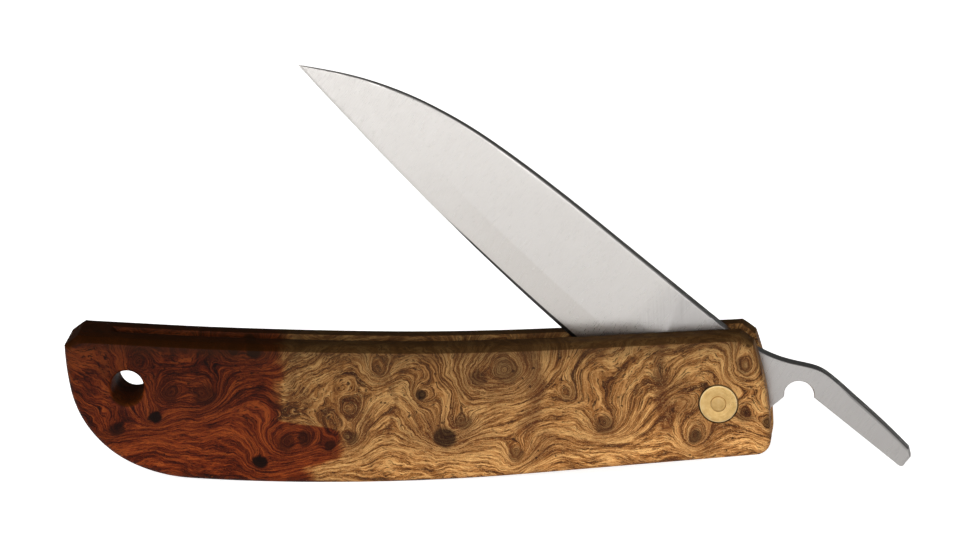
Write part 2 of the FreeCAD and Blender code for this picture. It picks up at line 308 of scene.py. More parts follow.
def handle_body():
    outline = handle_outline()
    weight = bevel_weight(outline)
    n = len(outline)
    rings = [edge_ring(outline, weight, -1, step) for step in EDGE_STEPS]
    rings += [np.stack([outline[:, 0], np.full(n, y), outline[:, 1]], 1)
              for y in (-2.4, 0.0, 2.4)]
    rings += [edge_ring(outline, weight, 1, step) for step in EDGE_STEPS[::-1]]
    faces = []
    for i in range(len(rings) - 1):
        a, b = i * n, (i + 1) * n
        faces += [[a + k, a + (k + 1) % n, b + (k + 1) % n, b + k] for k in range(n)]
    faces.append(list(range(n - 1, -1, -1)))
    faces.append(list(range((len(rings) - 1) * n, len(rings) * n)))
    return make_object("handle_burl", np.concatenate(rings), faces)


def flared_drill(radius, flare, count=72):
    """Tool for the lanyard hole, widening in a quarter round at both faces."""
    beyond = -HALF - 1
    half = [(0.0, beyond), (radius + flare + 0.02, beyond)]
    half += [(radius + flare * (1 - math.sin(a)), -HALF + flare * (1 - math.cos(a)))
             for a in np.linspace(0, math.pi / 2, 6)]
    return lathe("drill_tool", half + [(r, -y) for r, y in half[::-1]], count, (0.0, 0.0))


def pivot_drill(radius, y_from, y_to, count=72):
    angles = np.linspace(0, TURN, count, endpoint=False)
    rim = np.stack([PX + radius * np.cos(angles), PZ + radius * np.sin(angles)], 1)
    return prism("drill_tool", rim, y_from, y_to)


def build_handle():
    ob = handle_body()
    slot = chain([spline(from_pivot(SLOT_END), 30), spline(from_pivot(SLOT_FLOOR), 40),
                  from_pivot(SLOT_OPEN)])
    cut(ob, prism("slot_tool", slot, -SLOT_HALF, SLOT_HALF))
    cut(ob, flared_drill(HOLE_RADIUS, HOLE_FLARE))
    cut(ob, pivot_drill(SEAT_RADIUS, -OUTSIDE, -HALF + SEAT_DEPTH))
    cut(ob, pivot_drill(SEAT_RADIUS, HALF - SEAT_DEPTH, OUTSIDE))
    cut(ob, pivot_drill(PIN_BORE, -OUTSIDE, OUTSIDE))
    shade_by_angle(ob, 24)
    register(ob, "handle", "handle")
    return ob


# ------------------------------------------------------------------ blade
# drawn closed: pivot at the origin, tip towards -x, edge down; all points are (x, z)
TIP_X, JOIN_X = -83.2, -9.0             # the ground part lies between; the tang follows
SPINE_Z, HEEL_Z = 8.78, -8.1            # spine and underside at the join
TIP_CURVE = [(-33.0, SPINE_Z), (-39.3, 8.71), (-45.2, 8.54), (-51.0, 8.22), (-56.5, 7.69),
             (-61.7, 6.82), (-66.8, 5.6), (-71.5, 4.04), (-75.9, 2.16), (-80.1, -0.06),
             (TIP_X, -1.85)]
EDGE_CURVE = [(TIP_X, -1.85), (-79.4, -2.42), (-72.5, -3.37), (-65.8, -4.25), (-59.2, -5.05),
              (-52.6, -5.78), (-46.1, -6.4), (-39.6, -6.94), (-33.3, -7.39), (-27.0, -7.73),
              (-17.5, HEEL_Z)]
SPINE_LINE = chain([line((JOIN_X, SPINE_Z), TIP_CURVE[0], 40),
                    spline(TIP_CURVE, 160, (-1, 0), (-3.1, -1.85))])
EDGE_LINE = chain([spline(EDGE_CURVE, 220, (3.8, -0.5), (9.5, -0.28)),
                   line(EDGE_CURVE[-1], (JOIN_X, HEEL_Z), 14)])
COLUMNS = 300
ROWS = np.concatenate([[0, 0.012, 0.03, 0.05], np.linspace(0.08, 0.94, 32),
                       [0.962, 0.98, 0.991, 1.0]])      # fractions from edge to spine

# flat grind, run out by a wheel radius towards the tang
GRIND_X, GRIND_Z = -20.0, -7.95         # origin of the grind plane
GRIND_HALF = 0.128                      # half thickness there
GRIND_SKEW = math.radians(5.5)          # slope of the grind direction in the side view
GRIND_TILT = math.radians(3.92)         # slope of each flat against the mid-plane
RUN_OUT, WHEEL = 1.2, 32.0              # where the run-out starts, and its radius
EDGE_HALF = 0.03                        # half thickness left at the edge
SPINE_BREAK = 0.17                      # height of the broken spine edge

# tang outline: heel arc, notch and lever
NOTCH_X, NOTCH_Z, NOTCH_RADIUS = 9.33, 7.92, 2.35
LEVER_TOP = [(27.75, 12.38), (24.9, 12.69), (19.7, 13.08), (14.5, 13.3)]
LEVER_TO_SPINE = [(14.5, 13.3), (11.2, 13.34), (9.2, 13.12), (7.9, 12.62), (5.45, 11.36),
                  (3.7, 10.55), (1.8, 9.9), (-1.5, 9.18), (-5.0, 8.85), (JOIN_X, SPINE_Z)]
BORE_RADIUS, BORE_COUNT = 1.25, 48      # pivot hole through the tang


def half_thickness(x, z):
    """Half thickness of the ground blade, before honing and edge breaks."""
    dx, dz = x - GRIND_X, z - GRIND_Z
    along = dx * math.cos(GRIND_SKEW) - dz * math.sin(GRIND_SKEW)
    across = dx * math.sin(GRIND_SKEW) + dz * math.cos(GRIND_SKEW)
    half = GRIND_HALF / math.cos(GRIND_TILT) + across * math.tan(GRIND_TILT)
    run = min(along - RUN_OUT, WHEEL - 1e-3)
    if run > 0:
        half += (WHEEL - math.sqrt(WHEEL * WHEEL - run * run)) / math.cos(GRIND_TILT)
    return min(half, BLADE_HALF)


def flank(x, z, low, high):
    """Half thickness at (x, z), where the blade reaches from z = low to z = high."""
    half = half_thickness(x, z)
    above = z - low
    honed = 0.32 + 0.38 * np.clip((x + 70.0) / 45.0, 0, 1)      # bevel height, wider at the heel
    if x < -17.0 and above < honed:
        shoulder = half_thickness(x, low + honed)
        half = min(half, EDGE_HALF + (shoulder - EDGE_HALF) * above / honed)
    below = high - z
    if below < SPINE_BREAK:
        half = max(half - (SPINE_BREAK - below) * 0.9, half * 0.35)
    return half


def quad(side, *corners):
    return list(corners if side < 0 else corners[::-1])


def add_ground_part(verts, faces):
    stations = TIP_X + (JOIN_X - TIP_X) * (np.linspace(0, 1, COLUMNS) ** 1.15)
    highs = np.interp(stations, SPINE_LINE[::-1, 0], SPINE_LINE[::-1, 1])
    lows = np.interp(stations, EDGE_LINE[:, 0], EDGE_LINE[:, 1])
    for side in (-1, 1):
        for x, low, high in zip(stations, lows, highs):
            for fraction in ROWS:
                z = low + fraction * (high - low)
                verts.append((x, side * flank(x, z, low, high), z))
    rows = len(ROWS)
    front, back = np.arange(2 * COLUMNS * rows).reshape(2, COLUMNS, rows).tolist()
    for side, grid in ((-1, front), (1, back)):
        for here, after in zip(grid[:-1], grid[1:]):
            for j in range(rows - 1):
                faces.append(quad(side, here[j], after[j], after[j + 1], here[j + 1]))
    for i in range(COLUMNS - 1):      # strips along the spine and the edge
        faces.append([front[i][-1], front[i + 1][-1], back[i + 1][-1], back[i][-1]])
        faces.append([back[i][0], back[i + 1][0], front[i + 1][0], front[i][0]])
    for j in range(rows - 1):         # tip
        faces.append([back[0][j], front[0][j], front[0][j + 1], back[0][j + 1]])


def on_notch(x, z):
    """Point of the notch circle in the direction of the unit vector (x, z)."""
    return (NOTCH_X + x * NOTCH_RADIUS, NOTCH_Z + z * NOTCH_RADIUS)


def tang_outline():
    heel_end = (7.2, 3.7108)
    notch_start, notch_end = on_notch(-0.7131, -0.7011), on_notch(0.8376, 0.5463)
    return chain([
        line((JOIN_X, HEEL_Z), (0.0, HEEL_Z), 10),
        arc((0.0, HEEL_Z), (-HEEL_Z * 0.8480, HEEL_Z * 0.5299), heel_end, 48),
        line(heel_end, notch_start, 8),
        arc(notch_start, on_notch(-0.6400, 0.7684), notch_end, 48),
        line(notch_end, (28.2, 9.34), 40),
        arc((28.2, 9.34), (28.64, 9.50), (28.83, 9.95), 12),
        line((28.83, 9.95), (28.83, 11.55), 8),
        line((28.83, 11.55), LEVER_TOP[0], 8),
        spline(LEVER_TOP, 40),
        spline(LEVER_TO_SPINE, 90, (-1, 0.012), (-1, 0))])


def tang_edge_break(outline):
    """Size of the broken edge: wide on the lever, fine round the heel, fading at the join."""
    x, z = outline.T
    lever = np.clip((x - 13.0) / 2.5, 0, 1) * np.clip((z - 9.9) / 0.6, 0, 1)
    size = 0.14 + 0.26 * lever
    size[(x < 8) & (z < 6.0)] = 0.05
    return 0.004 + (size - 0.004) * np.clip((x - JOIN_X) / 1.5, 0, 1)


def add_loop(verts, points, depths):
    first = len(verts)
    verts += [(x, y, z) for (x, z), y in zip(points, depths)]
    return list(range(first, len(verts)))


def add_tang(verts, faces):
    outline = tang_outline()
    size = tang_edge_break(outline)
    count = len(outline)
    angles = [TURN * k / BORE_COUNT for k in range(BORE_COUNT)]
    bore = [(BORE_RADIUS * math.cos(a), BORE_RADIUS * math.sin(a)) for a in angles]
    inner = inset(outline, size)
    rows = [(outline, BLADE_HALF - size),
            (inset(outline, size * 0.45), BLADE_HALF - size * 0.42),
            (inner, np.full(count, BLADE_HALF))]
    rims, bores = [], []
    for side in (-1, 1):
        loops = [add_loop(verts, points, side * depths) for points, depths in rows]
        for outside, inside in zip(loops[:-1], loops[1:]):
            for k in range(count - 1):
                faces.append(quad(side, outside[k], outside[k + 1], inside[k + 1], inside[k]))
        hole = add_loop(verts, bore, np.full(BORE_COUNT, side * BLADE_HALF))
        triangles = tessellate_polygon([[Vector((x, z, 0)) for x, z in inner],
                                        [Vector((x, z, 0)) for x, z in bore[::-1]]])
        border = loops[-1] + hole[::-1]
        faces += [[border[i] for i in triangle] for triangle in triangles]
        rims.append(loops[0])
        bores.append(hole)
    front, back = rims
    for k in range(count - 1):
        faces.append([front[k + 1], front[k], back[k], back[k + 1]])
    front, back = bores
    for k in range(BORE_COUNT):
        after = (k + 1) % BORE_COUNT
        faces.append([front[k], front[after], back[after], back[k]])


def build_blade():
    verts, faces = [], []
    add_ground_part(verts, faces)
    add_tang(verts, faces)
    x, y, z = np.array(verts).T
    turned = np.stack([x * math.cos(REST) + z * math.sin(REST) + PX, y,
                       -x * math.sin(REST) + z * math.cos(REST) + PZ], 1)
    ob = make_object("blade_steel", turned, faces)
    shade_by_angle(ob, 14)
    register(ob, "blade", "blade")
    return ob


# ------------------------------------------------------------------ pivot hardware
# (radius, depth below the side face of the handle)
COLLAR_PROFILE = [(1.19, 1.5), (2.95, 1.5), (2.95, 0.16), (2.90, 0.05), (2.80, 0.012),
                  (2.6, 0.0), (1.34, 0.0), (1.26, 0.02), (1.20, 0.07), (1.19, 0.12)]
PIN_END = [(0.0, 0.0), (0.6, 0.0), (1.0, 0.008), (1.12, 0.035), (1.17, 0.09), (1.185, 0.2)]
# (radius, height above the washer's -y face)
WASHER = 0.3                            # thickness
WASHER_PROFILE = [(1.25, 0.0), (4.45, 0.0), (4.5, 0.05), (4.5, 0.25), (4.45, WASHER),
                  (1.25, WASHER)]


def collar(name, side):
    return lathe(name, [(r, HALF * side - depth * side) for r, depth in COLLAR_PROFILE], 120)


def pivot_pin():
    front = [(r, -HALF + depth) for r, depth in PIN_END]
    return lathe("peened_pin", front + [(r, -y) for r, y in front[::-1]])


def washer(name, y_low):
    return lathe(name, [(r, y_low + height) for r, height in WASHER_PROFILE])


# ------------------------------------------------------------------ node helpers
def srgb(colour):
    """Linear RGBA from 8-bit sRGB."""
    return (*(((c / 255.0 + 0.055) / 1.055) ** 2.4 if c > 10 else c / 255.0 / 12.92
              for c in colour), 1.0)


class Graph:
    """Node tree of a material or world. Colours of three numbers are 8-bit sRGB."""

    def __init__(self, owner, output):
        self.owner = owner
        owner.use_nodes = True
        self.tree = owner.node_tree
        self.tree.nodes.clear()
        self.output = self.node(output)

    def put(self, socket, value):
        if isinstance(value, bpy.types.NodeSocket):
            self.tree.links.new(value, socket)
        elif socket.type == "RGBA" and len(value) == 3:
            socket.default_value = srgb(value)
        else:
            socket.default_value = value

    def node(self, kind, inputs=(), **settings):
        """New node; inputs are listed in order, or keyed by name or index."""
        node = self.tree.nodes.new("ShaderNode" + kind)
        for key, value in settings.items():
            setattr(node, key, value)
        for key, value in inputs.items() if isinstance(inputs, dict) else enumerate(inputs):
            self.put(node.inputs[key], value)
        return node

    def finish(self, shader):
        self.put(self.output.inputs[0], shader.outputs[0])

    def math(self, operation, *values):
        return self.node("Math", values, operation=operation).outputs[0]

    def add(self, a, b):
        return self.math("ADD", a, b)

    def sub(self, a, b):
        return self.math("SUBTRACT", a, b)

    def mul(self, a, b):
        return self.math("MULTIPLY", a, b)

    def plus(self, start, *terms):
        """start + value * weight for each (value, weight) term."""
        for value, weight in terms:
            start = self.math("MULTIPLY_ADD", value, weight, start)
        return start

    def cubic(self, value, curve):
        """Height at value of the cubic fitted to a curve's points."""
        first, *others = [float(c) for c in np.polyfit(curve[:, 0], curve[:, 1], 3)]
        for coefficient in others:
            first = self.plus(coefficient, (value, first) if first is not None
                              and not isinstance(first, bpy.types.NodeSocket)
                              else (first, value))
        return first

    def vector(self, operation, a, b, output=0):
        return self.node("VectorMath", (a, b), operation=operation).outputs[output]

    def combine(self, x, y, z):
        return self.node("CombineXYZ", (x, y, z)).outputs[0]

    def split(self, vector):
        return self.node("SeparateXYZ", (vector,)).outputs

    def coordinates(self, kind):
        return self.node("TexCoord").outputs[kind]

    def millimetres(self):
        return self.node("VectorMath", {0: self.coordinates("Object"), "Scale": 1 / MM},
                         operation="SCALE").outputs[0]

    def noise(self, place, scale, detail, rough, shift=None):
        if shift is not None:
            place = self.vector("ADD", place, shift)
        return self.node("TexNoise", {"Vector": place, "Scale": scale, "Detail": detail,
                                      "Roughness": rough}).outputs["Fac"]

    def voronoi(self, place, scale):
        return self.node("TexVoronoi", {"Vector": place, "Scale": scale}).outputs["Distance"]

    def linear(self, value, span, to=(0.0, 1.0), kind="LINEAR"):
        """Map the span of the value onto the range to, clamped."""
        return self.node("MapRange", (value, *span, *to), interpolation_type=kind,
                         clamp=True).outputs[0]

    def ease(self, value, span, to=(0.0, 1.0)):
        return self.linear(value, span, to, "SMOOTHSTEP")

    def near(self, value, centre, span):
        """1 where the value is close to the centre, falling to 0 over the span."""
        return self.ease(self.math("ABSOLUTE", self.sub(value, centre)), span)

    def ramp(self, factor, stops):
        node = self.node("ValToRGB", (factor,))
        elements = node.color_ramp.elements
        elements.remove(elements[0])
        elements[0].position, elements[0].color = stops[0][0], srgb(stops[0][1])
        for position, colour in stops[1:]:
            elements.new(position).color = srgb(colour)
        return node.outputs[0]

    def mix(self, factor, a, b):
        return self.node("Mix", {0: factor, 6: a, 7: b}, data_type="RGBA").outputs[2]

    def stain_and_shade(self, mask, amount, colour):
        """Lay a colour over the surface so far, where the mask is high; used for real stains and
        for painted shade and reflection.
        """
        self.colour = self.mix(self.mul(mask, amount), self.colour, colour)

    def bump(self, height, strength, distance, **inputs):
        return self.node("Bump", {"Strength": strength, "Distance": distance * MM,
                                  "Height": height, **inputs}).outputs[0]

    def surface(self, **inputs):
        named = {key.replace("_", " "): value for key, value in inputs.items()}
        self.finish(self.node("BsdfPrincipled", {"Base Color": self.colour, **named}))


def material_graph(name):
    return Graph(bpy.data.materials.new(name), "OutputMaterial")


# ------------------------------------------------------------------ burl wood
# eyes: x and z from the pivot, radius, strength of the ring figure, darkness of the pith
EYES = [
    (-73.3, 8.4, 2.2, 1.5, 0.9), (-76.8, 8.3, 1.7, 1.2, 0.7), (-89.0, -2.6, 1.9, 1.6, 1.0),
    (-95.2, -4.6, 2.2, 1.3, 0.7), (-86.3, 1.4, 2.6, 2.4, 0.35), (-81.2, 0.9, 3.3, 2.8, 0.45),
    (-73.0, -9.9, 2.1, 1.6, 0.95), (-68.7, -6.8, 2.6, 2.4, 0.5), (-65.6, -6.1, 2.4, 2.0, 0.6),
    (-61.8, -7.4, 1.5, 1.3, 0.7), (-58.5, -6.3, 2.0, 1.9, 0.5), (-34.0, 5.2, 4.2, 3.6, 0.35),
    (-38.6, 3.9, 2.4, 1.5, 0.4), (-47.6, 0.7, 1.7, 1.5, 0.75), (-44.0, -6.3, 3.4, 2.6, 0.75),
    (-41.0, -3.4, 2.6, 1.4, 0.4), (-32.8, -8.9, 2.4, 2.2, 0.4), (-18.9, -4.1, 2.9, 2.4, 0.45),
    (-4.8, -5.6, 2.0, 1.6, 0.6), (6.0, -3.4, 1.6, 1.6, 0.6), (2.6, -2.2, 2.2, 1.2, 0.45),
    (2.4, 5.0, 2.2, 1.2, 0.3), (-91.5, 6.6, 2.0, 1.0, 0.3), (-54.0, 4.6, 2.2, 1.2, 0.25),
    (-24.5, 1.0, 2.3, 1.0, 0.2), (-10.4, 2.6, 2.2, 0.9, 0.2), (-58.4, -1.6, 3.4, 1.2, 0.1),
]
# brown clouds: centre x and z, radius in x and in z, strength
BROWN_CLOUDS = [(49.5, -8.0, 6.5, 3.8, 0.85), (55.0, 1.0, 5.5, 4.4, 0.50),
                (34.0, -8.0, 4.0, 3.6, 0.60), (73.5, -6.8, 4.2, 3.0, 0.40),
                (87.5, -7.8, 3.2, 2.0, 0.35)]
# upright dark bands: x, width, bend, strength
BANDS = [(63.6, 1.5, 0.10, 0.62), (83.0, 1.3, -0.04, 0.60), (41.8, 0.45, 0.05, 0.45),
         (26.0, 0.8, 0.0, 0.4)]
# open pores: fineness along and across the grain, noise shift, threshold span, strength
PORES = [(1.5, 17.0, (3.0, 8.0, 0.0), (0.60, 0.655), 0.85),
         (0.65, 8.0, (43.0, 8.0, 19.0), (0.625, 0.67), 0.80)]
# tone stops of the two woods
SAP_STOPS = [(0.32, (58, 29, 13)), (0.47, (100, 60, 30)), (0.60, (146, 97, 54)),
             (0.74, (184, 133, 84)), (0.90, (216, 170, 116))]
HEART_STOPS = [(0.32, (40, 12, 7)), (0.47, (76, 30, 16)), (0.62, (112, 52, 30)),
               (0.76, (142, 76, 48)), (0.90, (170, 102, 68))]


class Burl(Graph):
    """Red heartwood towards the lanyard end and gold sapwood towards the pivot."""

    def __init__(self):
        super().__init__(bpy.data.materials.new("burl_wood"), "OutputMaterial")
        self.place = self.millimetres()
        self.x, self.y, self.z = self.split(self.place)
        self.warp()
        self.raise_grain()
        self.base_colour()
        self.figure()
        self.grain_marks()
        self.small_marks()
        self.paint_shade_relief_and_gloss()

    def warp(self):
        """Slow warp, so that nothing runs straight."""
        def drift(**noise):
            return self.sub(self.noise(self.place, **noise), 0.5)

        self.broad = drift(scale=0.055, detail=2.0, rough=0.5)
        self.medium = drift(scale=0.16, detail=3.0, rough=0.55, shift=(31.0, 17.0, 5.0))
        self.small = drift(scale=0.42, detail=4.0, rough=0.6, shift=(3.0, 77.0, 45.0))
        self.warp_x = self.plus(self.x, (self.small, 1.5), (self.medium, 1.9), (self.y, 0.22))
        self.warp_z = self.plus(self.z, (self.small, 1.1), (self.broad, 3.0), (self.y, 0.12))

    def raise_grain(self):
        """Grain height field: gentle waves along the handle plus a hill at every eye."""
        flat = self.combine(self.warp_x, 0.0, self.warp_z)
        grain = self.plus(self.mul(self.warp_z, 0.62), (self.warp_x, -0.035),
                          (self.broad, 9.0), (self.medium, 1.5))
        self.pith = self.hills = None
        for x, z, radius, strength, darkness in EYES:
            centre = (x + PX, 0.0, z + PZ)
            away = self.math("DIVIDE", self.vector("DISTANCE", flat, centre, "Value"), radius)
            hill = self.math("EXPONENT", self.mul(self.math("POWER", away, 1.5), -1.0))
            skirt = self.math("EXPONENT", self.mul(self.mul(away, away), -0.16))
            grain = self.plus(grain, (hill, strength * 2.3), (skirt, strength * 0.9))
            core = self.mul(self.ease(away, span=(0.40, 0.66), to=(1.0, 0.0)),
                            min(1.0, darkness * 1.12))
            if self.pith is None:
                self.pith, self.hills = core, hill
            else:
                self.pith = self.math("MAXIMUM", self.pith, core)
                self.hills = self.math("MAXIMUM", self.hills, hill)
        self.grain = grain

    def streaks(self, along, depth, across, detail, rough, slant=None, shift=None):
        """Noise stretched along the contours of the grain height field."""
        x = self.mul(self.warp_x, along)
        if slant is not None:
            x = self.plus(x, (self.warp_z, slant))
        place = self.combine(x, self.mul(self.y, depth), self.mul(self.grain, across))
        return self.noise(place, 1.0, detail, rough, shift)

    def wave(self, phase):
        return self.math("ABSOLUTE", self.math("SINE", phase))

    def stain_wood(self, mask, amount, heart, sap):
        self.stain_and_shade(mask, amount, self.mix(self.gold, heart, sap))

    def base_colour(self):
        flow = self.streaks(along=0.16, depth=0.10, across=1.25, detail=5.0, rough=0.6)
        self.fine = self.streaks(along=0.55, depth=0.4, across=7.0, detail=5.0, rough=0.62)
        # border between the woods, bulging towards the pivot low on the side
        border = self.add(24.0, self.sub(
            self.ease(self.z, span=(-5.0, -7.2), to=(0.0, 9.0)),
            self.ease(self.z, span=(-10.8, -13.2), to=(0.0, 5.0))))
        past = self.sub(self.plus(self.x, (self.small, 3.0), (self.medium, 5.0)), border)
        self.gold = self.ease(past, span=(-0.9, 1.3))
        # weights of the streaks, then contrast about their mean
        tone = self.plus(self.mul(self.wave(self.mul(self.grain, 3.4)), 0.06),
                         (self.fine, 0.64), (flow, 0.62))
        tone = self.plus(0.625, (self.sub(tone, 0.64), 2.35))
        self.colour = self.mix(self.gold, self.ramp(tone, HEART_STOPS),
                               self.ramp(tone, SAP_STOPS))

    def figure(self):
        """Clouds, rings round the eyes and halos."""
        cloud = self.noise(self.place, scale=0.085, detail=3.0, rough=0.6,
                           shift=(11.0, 7.0, 23.0))
        self.stain_wood(self.ease(cloud, span=(0.52, 0.70)), amount=0.60,
                        heart=(52, 18, 11), sap=(92, 52, 26))
        # thin dark rings, only near the eyes
        ring = self.wave(self.plus(self.mul(self.grain, 4.4), (self.small, 5.0)))
        ring = self.mul(self.ease(ring, span=(0.40, 0.06)),
                        self.ease(self.hills, span=(0.10, 0.45)))
        self.stain_wood(ring, amount=0.62, heart=(36, 13, 8), sap=(62, 33, 16))
        for x, z, radius_x, radius_z, strength in BROWN_CLOUDS:
            dx = self.math("DIVIDE", self.sub(self.warp_x, x), radius_x)
            dz = self.math("DIVIDE", self.sub(self.warp_z, z), radius_z)
            square = self.add(self.mul(dx, dx), self.mul(dz, dz))
            cloud = self.mul(self.math("EXPONENT", self.mul(square, -1.0)),
                             self.ease(self.fine, span=(0.62, 0.42), to=(0.35, 1.0)))
            self.stain_wood(cloud, amount=strength, heart=(56, 18, 10), sap=(78, 38, 18))
        self.stain_wood(self.ease(self.hills, span=(0.25, 0.9)), amount=0.34,
                        heart=(74, 26, 14), sap=(100, 52, 26))

    def grain_marks(self):
        """Dark dashes, dark and light hair lines, and upright bands."""
        self.hair = self.streaks(along=1.1, depth=0.9, across=15.0, detail=3.0, rough=0.6)
        dashes = self.streaks(along=0.85, depth=0.8, across=11.0, detail=3.0, rough=0.55,
                              slant=0.5, shift=(9.0, 4.0, 2.0))
        self.dashes = self.ease(dashes, span=(0.585, 0.655))
        self.stain_wood(self.dashes, amount=0.82, heart=(34, 13, 9), sap=(56, 30, 15))
        self.stain_wood(self.ease(self.hair, span=(0.57, 0.72)), amount=0.62,
                        heart=(44, 18, 11), sap=(72, 42, 22))
        self.stain_wood(self.ease(self.hair, span=(0.42, 0.30)), amount=0.55,
                        heart=(152, 92, 62), sap=(214, 172, 120))
        for x, width, bend, strength in BANDS:
            away = self.sub(self.plus(self.x, (self.medium, 4.0), (self.small, 3.0)),
                            self.plus(x, (self.mul(self.z, self.z), -bend * 0.3)))
            band = self.ease(self.math("ABSOLUTE", away), span=(width * 0.25, width * 1.4),
                             to=(1.0, 0.0))
            band = self.mul(band, self.ease(self.z, span=(-9.0, -6.0)))
            self.stain_and_shade(band, amount=strength, colour=(84, 42, 20))

    def small_marks(self):
        """Pores, fibre speckle, pin knots and the pith of the eyes."""
        for along, across, shift, span, strength in PORES:
            pores = self.streaks(along, along, across, detail=1.5, rough=0.5,
                                 slant=0.35 * along, shift=shift)
            self.stain_wood(self.ease(pores, span), strength, heart=(24, 9, 6), sap=(44, 22, 11))
        speckle = self.noise(self.place, scale=5.5, detail=3.0, rough=0.7)
        self.stain_wood(self.ease(speckle, span=(0.56, 0.70)), amount=0.40,
                        heart=(40, 16, 10), sap=(80, 48, 24))
        self.stain_wood(self.ease(speckle, span=(0.44, 0.32)), amount=0.35,
                        heart=(160, 96, 64), sap=(228, 186, 132))
        # pin knots: small dark dots in clusters
        dots = self.voronoi(self.combine(self.warp_x, self.y, self.warp_z), scale=0.75)
        clusters = self.noise(self.place, scale=0.14, detail=2.0, rough=0.5)
        self.stain_and_shade(self.mul(self.ease(dots, span=(0.20, 0.10)),
                            self.ease(clusters, span=(0.50, 0.60))),
                   amount=0.8, colour=(34, 17, 10))
        self.stain_and_shade(self.pith, amount=0.96, colour=(13, 6, 4))

    def paint_shade_relief_and_gloss(self):
        """Painted shade on the top faces and towards the lanyard end, then relief and gloss."""
        upward = self.split(self.node("NewGeometry").outputs["True Normal"])[2]
        facing_up = (0.1, 0.6)
        # painted shade: faces turned upwards are darkened
        self.stain_and_shade(self.ease(upward, facing_up), amount=0.74, colour=(72, 51, 29))
        # painted shade: the dark top runs on softly a little way down the side
        below = self.plus(self.sub(self.cubic(self.x, TOP_LINE), self.z), (self.small, 1.6))
        self.stain_and_shade(self.ease(below, span=(0.9, 3.2), to=(1.0, 0.0)), amount=0.45,
                   colour=(82, 57, 32))
        # painted shade, darker towards the top and the lanyard end, together with the woods' own
        # tone, darker in the heartwood; then its strength per channel from heartwood to sapwood
        shade_and_tone = self.mul(self.linear(self.z, span=(-15.0, 7.5), to=(0.98, 0.34)),
                         self.linear(self.x, span=(25.0, 100.0), to=(0.74, 1.18)))
        shade_and_tone = self.mul(shade_and_tone, self.linear(self.gold, span=(0.0, 1.0), to=(0.74, 1.0)))
        red = self.mul(shade_and_tone, 0.97)
        green, blue = (self.mul(shade_and_tone, self.linear(self.gold, span=(0.0, 1.0), to=to))
                       for to in ((0.58, 0.92), (0.22, 0.74)))
        self.colour = self.vector("MULTIPLY", self.colour, self.combine(red, green, blue))
        # relief: streaks stand up, dashes and piths sink in
        height = self.plus(self.mul(self.hair, 0.35), (self.fine, 0.5))
        height = self.sub(height, self.mul(self.dashes, 0.35))
        height = self.sub(height, self.mul(self.pith, 0.4))
        rounded = self.node("Bevel", {"Radius": 0.45 * MM}, samples=6).outputs[0]
        rough = self.plus(self.ease(upward, facing_up, to=(0.40, 0.62)), (self.fine, 0.22))
        self.surface(Roughness=rough,
                     Normal=self.bump(height, strength=0.55, distance=0.12, Normal=rounded),
                     Specular_IOR_Level=self.ease(upward, facing_up, to=(0.10, 0.04)))


# ------------------------------------------------------------------ metals
def satin_steel():
    mat = material_graph("satin_steel")
    x, y, z = mat.split(mat.vector("SUBTRACT", mat.millimetres(), (PX, 0.0, PZ)))
    cos, sin = math.cos(REST), math.sin(REST)
    # the closed blade's axes: along it, tip negative, and across it, spine positive
    along = mat.sub(mat.mul(x, cos), mat.mul(z, sin))
    across = mat.add(mat.mul(x, sin), mat.mul(z, cos))

    def scratches(slant, stretched, stretch, **noise):
        """Noise drawn out into slanting lines."""
        place = mat.combine(mat.plus(along, (across, slant)), y, mat.mul(stretched, stretch))
        return mat.noise(place, **noise)

    fine = scratches(0.10, across, 0.016, scale=9.0, detail=3.0, rough=0.7)
    coarse = scratches(-0.16, across, 0.06, scale=3.2, detail=2.0, rough=0.6)
    mottle = mat.noise(mat.combine(along, y, across), scale=0.12, detail=3.0, rough=0.5)
    ground = mat.ease(along, span=(-13.0, -19.5))
    # diagonal marks left where the grind runs out
    diagonal = scratches(0.9, along, 0.08, scale=2.6, detail=3.0, rough=0.65)
    plunge = mat.mul(mat.ease(along, span=(-20.0, -14.5)), mat.ease(along, span=(-9.5, -13.0)))
    # coarser scratches near the point
    grit = mat.linear(along, span=(-58.0, -78.0), to=(0.16, 0.42))
    tone = mat.add(mat.mul(mat.sub(fine, 0.5), grit),
                   mat.plus(0.29, (mottle, 0.07), (coarse, 0.05)))
    tone = mat.plus(tone, (mat.mul(plunge, mat.sub(diagonal, 0.5)), 0.35))
    mat.colour = mat.ramp(tone, [(0.18, (214, 210, 206)), (0.34, (243, 239, 235)),
                                 (0.52, (253, 250, 247))])
    mat.stain_and_shade(mat.sub(1.0, ground), amount=0.55, colour=(177, 174, 174))
    # painted reflection: faint line above the edge, fading towards the point
    above = mat.sub(across, mat.cubic(along, EDGE_LINE))
    reflection_line = mat.mul(mat.ease(above, span=(4.45, 4.95), to=(1.0, 0.0)),
                     mat.mul(mat.ease(along, span=(-62.0, -36.0)), ground))
    mat.stain_and_shade(reflection_line, amount=0.16, colour=(196, 184, 170))
    # painted shade: dark band on the honed bevel along the edge, as a share of its local width
    width = mat.linear(along, span=(-60.0, -24.0), to=(0.14, 0.62))
    ends = mat.mul(mat.ease(along, span=(-14.0, -18.0)), mat.ease(along, span=(-52.0, -44.0)))
    honed = mat.ease(mat.math("DIVIDE", above, width), span=(0.75, 1.05), to=(1.0, 0.0))
    mat.stain_and_shade(mat.mul(honed, ends), amount=0.93, colour=(28, 26, 26))
    # painted shade: the spine and the other narrow edges facing the spine side are darker
    spineward = mat.vector("DOT_PRODUCT", mat.coordinates("Normal"), (sin, 0.0, cos), "Value")
    mat.stain_and_shade(mat.ease(spineward, span=(0.45, 0.8)), amount=0.72, colour=(52, 50, 50))
    height = mat.plus(mat.mul(coarse, 0.3), (fine, 0.7))
    mat.surface(Metallic=1.0, Roughness=mat.plus(0.24, (fine, 0.09)),
                Normal=mat.bump(height, strength=0.07, distance=0.02))
    return mat.owner


